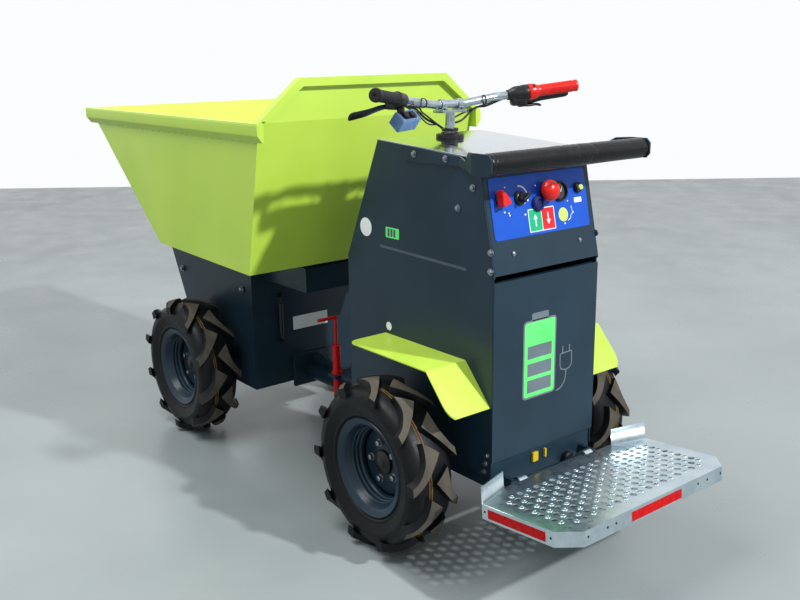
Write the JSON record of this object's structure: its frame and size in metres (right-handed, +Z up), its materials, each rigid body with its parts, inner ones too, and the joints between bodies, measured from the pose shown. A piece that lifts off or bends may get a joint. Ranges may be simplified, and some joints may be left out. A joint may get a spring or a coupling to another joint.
{
  "type": "articulated site dumper with stand-on platform",
  "caption": "Compact electric site dumper: articulated frame, forward-tipping skip, handlebar steering and a fold-up platform behind the battery cabinet.",
  "frame": {"origin": "on the ground under the middle of the overall length and width", "axes": "+X forward towards the skip, +Y to the left, +Z up"},
  "size_m": [2.4569, 0.892, 1.306],
  "materials": {
    "lime_paint": "powder coat, satin",
    "grey_paint": "powder coat, satin",
    "zinc_steel": "zinc plated",
    "polished_plate": "smooth rolled sheet",
    "tyre_rubber": "moulded, scuffed lugs",
    "black_rubber": "smooth",
    "black_plastic": "moulded",
    "red_plastic": "moulded, glossy",
    "switch_plastic": "moulded",
    "battery_case": "moulded"
  },
  "bodies": {
    "rear_unit": {"rear_axle": "grey_paint", "rear_chassis": "grey_paint", "cabinet_left_side": "grey_paint", "cabinet_right_side": "grey_paint", "cabinet_front_panel": "grey_paint", "cabinet_top_plate": "polished_plate", "control_panel": "grey_paint", "battery_cover": "grey_paint", "battery_block": "battery_case", "left_fender": "lime_paint", "right_fender": "lime_paint", "lean_bar_left_arm": "grey_paint", "lean_bar_right_arm": "grey_paint", "lean_bar_pad": "black_rubber", "platform_bracket": "grey_paint", "articulation_lock": "red_plastic", "articulation_pin": "zinc_steel", "emergency_stop": "red_plastic", "isolator_key": "red_plastic", "column_bearing": "zinc_steel"},
    "handlebar": {"steering_column": "zinc_steel", "handlebar_tube": "zinc_steel", "left_lever": "black_plastic", "left_grip": "black_rubber", "throttle_housing": "black_plastic", "throttle_grip": "red_plastic", "right_lever": "black_plastic", "switch_box": "switch_plastic", "control_cables": "black_rubber"},
    "platform": {"platform_deck": "zinc_steel"},
    "front_unit": {"front_axle": "grey_paint", "front_left_side": "grey_paint", "front_right_side": "grey_paint", "front_rear_wall": "grey_paint", "front_nose_plate": "grey_paint", "front_floor": "grey_paint", "drawbar": "grey_paint", "skip_rest": "grey_paint"},
    "skip": {"skip_tub": "lime_paint", "skip_cradle": "grey_paint"},
    "cylinder_barrel": {"tip_cylinder": "black_plastic"},
    "cylinder_rod": {"tip_rod": "zinc_steel"},
    "rear_left_wheel": {"rear_left_tyre": "tyre_rubber", "rear_left_rim": "grey_paint"},
    "rear_right_wheel": {"rear_right_tyre": "tyre_rubber", "rear_right_rim": "grey_paint"},
    "front_left_wheel": {"front_left_tyre": "tyre_rubber", "front_left_rim": "grey_paint"},
    "front_right_wheel": {"front_right_tyre": "tyre_rubber", "front_right_rim": "grey_paint"}
  },
  "joints": [
    {"name": "articulation", "type": "hinge", "parent": "rear_unit", "child": "front_unit", "pos_m": [0.029, 0, 0.22], "axis": [0, 0, 1], "range_deg": [-35, 35]},
    {"name": "handlebar_turn", "type": "hinge", "parent": "rear_unit", "child": "handlebar", "pos_m": [-0.436, 0, 1.2], "axis": [0, 0, 1], "range_deg": [-35.2, 35.2]},
    {"name": "platform_fold", "type": "hinge", "parent": "rear_unit", "child": "platform", "pos_m": [-0.876, 0, 0.235], "axis": [0, 1, 0], "range_deg": [0, 85]},
    {"name": "skip_tip", "type": "hinge", "parent": "front_unit", "child": "skip", "pos_m": [0.889, 0, 0.66], "axis": [0, 1, 0], "range_deg": [0, 70]},
    {"name": "cylinder_swing", "type": "hinge", "parent": "front_unit", "child": "cylinder_barrel", "pos_m": [0.459, 0, 0.29], "axis": [0, 1, 0], "range_deg": [0, 7.67]},
    {"name": "rod_extend", "type": "slide", "parent": "cylinder_barrel", "child": "cylinder_rod", "axis": [0.3911, 0, 0.9203], "range_m": [0, 0.2919]},
    {"name": "rear_left_spin", "type": "hinge", "parent": "rear_unit", "child": "rear_left_wheel", "pos_m": [-0.558, 0.362, 0.25], "axis": [0, 1, 0], "continuous": true},
    {"name": "rear_right_spin", "type": "hinge", "parent": "rear_unit", "child": "rear_right_wheel", "pos_m": [-0.558, -0.362, 0.25], "axis": [0, 1, 0], "continuous": true},
    {"name": "front_left_spin", "type": "hinge", "parent": "front_unit", "child": "front_left_wheel", "pos_m": [0.616, 0.362, 0.25], "axis": [0, 1, 0], "continuous": true},
    {"name": "front_right_spin", "type": "hinge", "parent": "front_unit", "child": "front_right_wheel", "pos_m": [0.616, -0.362, 0.25], "axis": [0, 1, 0], "continuous": true}
  ],
  "couplings": [
    {"joint": "handlebar_turn", "follows": "articulation", "ratio": 1},
    {"joint": "cylinder_swing", "follows": "skip_tip", "ratio": 0.1081},
    {"joint": "rod_extend", "follows": "skip_tip", "m_per_rad": 0.23814}
  ]
}
